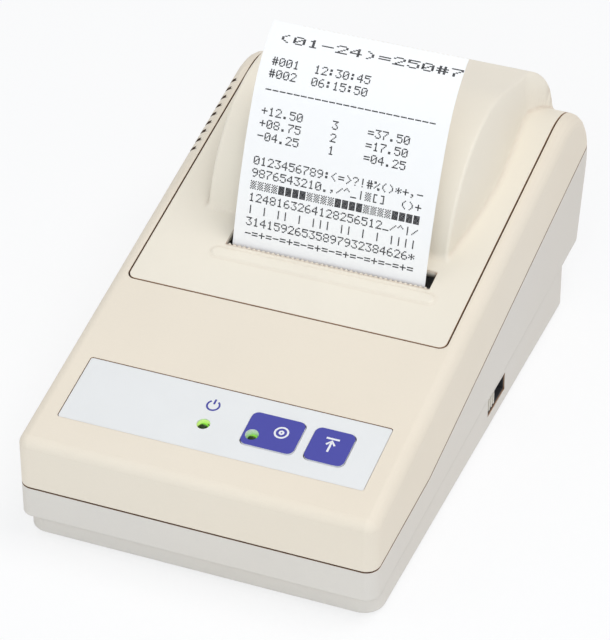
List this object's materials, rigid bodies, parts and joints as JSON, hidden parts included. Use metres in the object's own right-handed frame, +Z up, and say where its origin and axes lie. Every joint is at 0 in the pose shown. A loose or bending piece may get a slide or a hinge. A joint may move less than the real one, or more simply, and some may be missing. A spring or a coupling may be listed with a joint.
{
  "type": "dot matrix printer",
  "caption": "Compact desktop dot matrix roll printer with a sloping case, control panel, hinged domed cover, printing mechanism, paper roll and printed paper strip.",
  "frame": {"origin": "floor level under the feet, midway between the sides and midway between front and rear", "axes": "+X to the right of a person facing the control panel, +Y to the rear, +Z up"},
  "size_m": [0.106, 0.184, 0.1076],
  "materials": {
    "case_beige": "fine matte ABS, warm beige",
    "cover_ivory": "fine matte ABS, light ivory",
    "case_grey": "fine matte ABS, light grey beige",
    "foot_rubber": "matte black rubber",
    "zinc_steel": "zinc plated",
    "label_white": "printed film, satin",
    "key_blue": "satin blue keycap",
    "lamp_green": "green lens",
    "board_green": "solder mask",
    "switch_black": "moulded black",
    "chip_black": "moulded epoxy",
    "capacitor_sleeve": "shrink sleeve",
    "heat_sink_alloy": "extruded fins",
    "connector_steel": "tin plated shell",
    "frame_steel": "galvanised sheet",
    "shaft_steel": "ground shaft",
    "platen_black": "hard black platen",
    "head_black": "moulded black with steel nose",
    "gear_nylon": "natural nylon",
    "cable_film": "amber film cable",
    "motor_can": "plated steel can",
    "pinion_brass": "turned brass",
    "roller_rubber": "ground rubber",
    "knob_white": "moulded white",
    "cassette_black": "textured black",
    "ribbon_ink": "inked nylon ribbon",
    "paper_white": null,
    "core_card": null
  },
  "bodies": {
    "base": {"lower_case": "case_grey", "upper_case": "case_beige", "rubber_feet": "foot_rubber", "case_screws": "zinc_steel", "hinge_pins": "zinc_steel", "panel_label": "label_white", "power_lamp": "lamp_green", "select_lamp": "lamp_green", "panel_board": "board_green", "panel_screws": "zinc_steel", "select_switch": "switch_black", "feed_switch": "switch_black", "main_board": "board_green", "board_screws": "zinc_steel", "processor_chip": "chip_black", "memory_chips": "chip_black", "capacitors": "capacitor_sleeve", "driver_heat_sink": "heat_sink_alloy", "power_switch_body": "switch_black", "connector_board": "board_green", "interface_connector": "connector_steel", "power_inlet": "switch_black", "mechanism_frame": "frame_steel", "frame_screws": "zinc_steel", "guide_shafts": "shaft_steel", "platen": "platen_black", "drive_motor": "motor_can", "gear_studs": "shaft_steel", "paper_guide": "frame_steel", "ribbon_cassette": "cassette_black", "ribbon": "ribbon_ink", "roll_cradle": "case_grey", "roll_spindle": "gear_nylon", "paper_web": "paper_white"},
    "cover": {"printer_cover": "cover_ivory", "tear_bar": "cover_ivory", "paper_strip": "paper_white"},
    "select_key": {"select_key": "key_blue"},
    "feed_key": {"feed_key": "key_blue"},
    "power_slider": {"power_switch_slider": "case_beige"},
    "feed_drive": {"feed_shaft": "shaft_steel", "feed_roller": "roller_rubber", "feed_gear": "gear_nylon", "feed_knob": "knob_white"},
    "cam": {"cam_drum": "gear_nylon", "cam_gear": "gear_nylon"},
    "reduction": {"reduction_gear": "gear_nylon"},
    "idler": {"idler_gear": "gear_nylon"},
    "motor_rotor": {"motor_pinion": "pinion_brass"},
    "pressure": {"pressure_roller": "roller_rubber"},
    "head": {"head_carriage": "gear_nylon", "print_head": "head_black", "head_cable": "cable_film"},
    "spool": {"ribbon_spool": "gear_nylon"},
    "roll": {"paper_roll": "paper_white", "paper_core": "core_card"}
  },
  "joints": [
    {"name": "cover_hinge", "type": "hinge", "parent": "base", "child": "cover", "pos_m": [0, 0.0863, 0.05262], "axis": [-1, 0, 0], "range_deg": [0, 95]},
    {"name": "select_key_press", "type": "slide", "parent": "base", "child": "select_key", "axis": [0, 0.1925, -0.9813], "range_m": [0, 0.0005], "stiffness_N_per_m": 1500, "springref_m": -0.0002},
    {"name": "feed_key_press", "type": "slide", "parent": "base", "child": "feed_key", "axis": [0, 0.1925, -0.9813], "range_m": [0, 0.0005], "stiffness_N_per_m": 1500, "springref_m": -0.0002},
    {"name": "power_slide", "type": "slide", "parent": "base", "child": "power_slider", "axis": [0, 1, 0], "range_m": [0, 0.007]},
    {"name": "feed_spin", "type": "hinge", "parent": "base", "child": "feed_drive", "pos_m": [0, 0.004, 0.024], "axis": [1, 0, 0], "continuous": true},
    {"name": "idler_spin", "type": "hinge", "parent": "base", "child": "idler", "pos_m": [0, -0.00445, 0.01955], "axis": [1, 0, 0], "continuous": true},
    {"name": "cam_spin", "type": "hinge", "parent": "base", "child": "cam", "pos_m": [0, -0.0155, 0.0198], "axis": [1, 0, 0], "continuous": true},
    {"name": "reduction_spin", "type": "hinge", "parent": "base", "child": "reduction", "pos_m": [0, -0.024, 0.02605], "axis": [1, 0, 0], "continuous": true},
    {"name": "motor_spin", "type": "hinge", "parent": "base", "child": "motor_rotor", "pos_m": [0, -0.035, 0.025], "axis": [1, 0, 0], "continuous": true},
    {"name": "pressure_spin", "type": "hinge", "parent": "base", "child": "pressure", "pos_m": [0, 0.004, 0.0324], "axis": [1, 0, 0], "continuous": true},
    {"name": "head_slide", "type": "slide", "parent": "base", "child": "head", "axis": [1, 0, 0], "range_m": [-0.021, 0.021]},
    {"name": "ribbon_spin", "type": "hinge", "parent": "base", "child": "spool", "pos_m": [-0.033, -0.0175, 0.04], "axis": [0, 0, 1], "continuous": true},
    {"name": "roll_spin", "type": "hinge", "parent": "base", "child": "roll", "pos_m": [0, 0.044, 0.046], "axis": [1, 0, 0], "continuous": true}
  ],
  "couplings": [
    {"joint": "idler_spin", "follows": "feed_spin", "ratio": -1.7143},
    {"joint": "cam_spin", "follows": "feed_spin", "ratio": 0.8},
    {"joint": "reduction_spin", "follows": "feed_spin", "ratio": -2},
    {"joint": "motor_spin", "follows": "feed_spin", "ratio": 5.3333},
    {"joint": "pressure_spin", "follows": "feed_spin", "ratio": -1.6667},
    {"joint": "ribbon_spin", "follows": "feed_spin", "ratio": 0.4}
  ]
}
